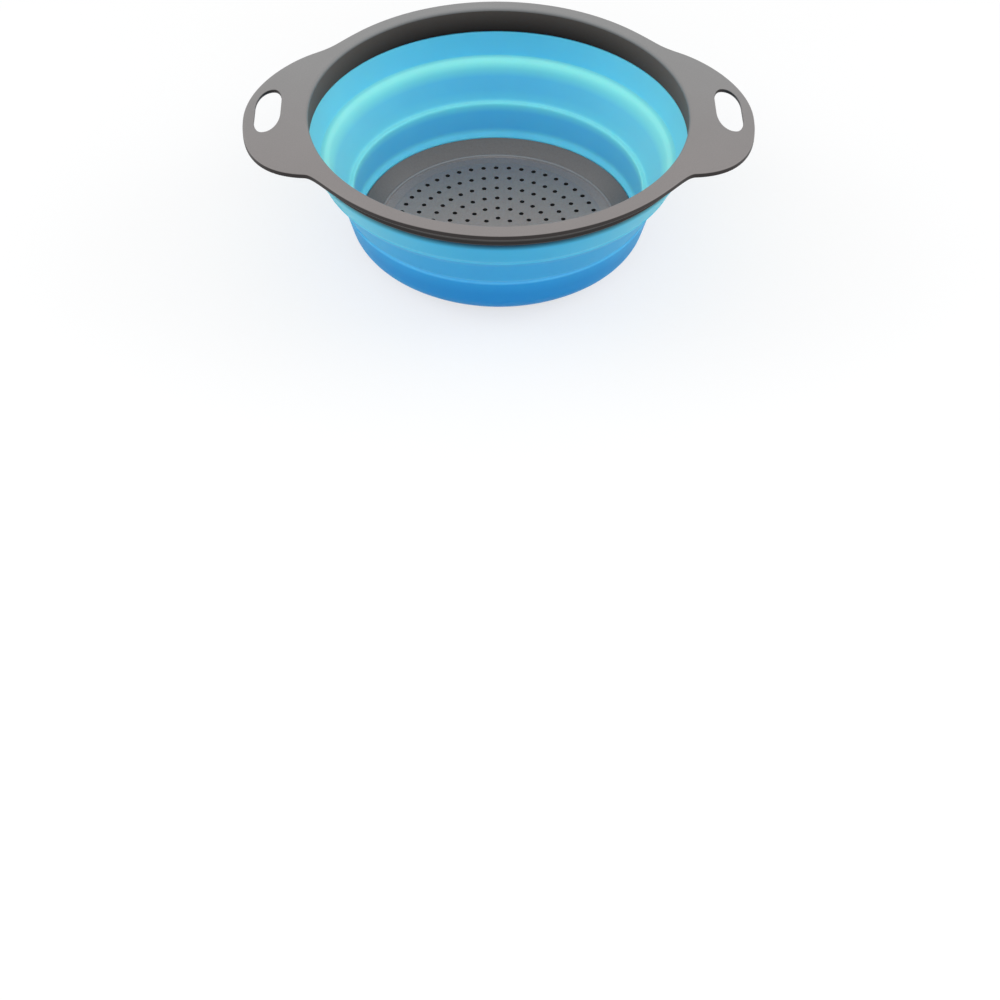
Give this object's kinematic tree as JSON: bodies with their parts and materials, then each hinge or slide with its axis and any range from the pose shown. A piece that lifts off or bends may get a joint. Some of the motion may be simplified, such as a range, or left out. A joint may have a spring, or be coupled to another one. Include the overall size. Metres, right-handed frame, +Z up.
{
  "type": "collapsible colander",
  "caption": "Round folding silicone colander with a rigid rim, slotted side handles and a dished perforated base that stands on a low foot.",
  "frame": {"origin": "on the bowl's axis, in the plane that the foot stands on", "axes": "+Z up along the axis of the bowl, +X along the two handles, +Y away from the side that faces the camera"},
  "size_m": [0.2692, 0.2194, 0.0825],
  "materials": {
    "rim_plastic": "satin warm grey, moulded",
    "clamp_plastic": "satin dark grey, moulded",
    "silicone": "satin sky blue silicone, slightly translucent",
    "base_plastic": "fine matt grey, moulded"
  },
  "bodies": {
    "base": {"strainer_base": "base_plastic", "base_ring": "base_plastic", "wall_lower": "silicone", "wall_fold": "silicone"},
    "rim": {"rim_frame": "rim_plastic", "rim_clamp_ring": "clamp_plastic", "wall_upper": "silicone"}
  },
  "joints": [
    {"name": "collapse", "type": "slide", "parent": "base", "child": "rim", "axis": [0, 0, -1], "range_m": [0, 0.0432], "deforming": ["wall_fold"]}
  ]
}
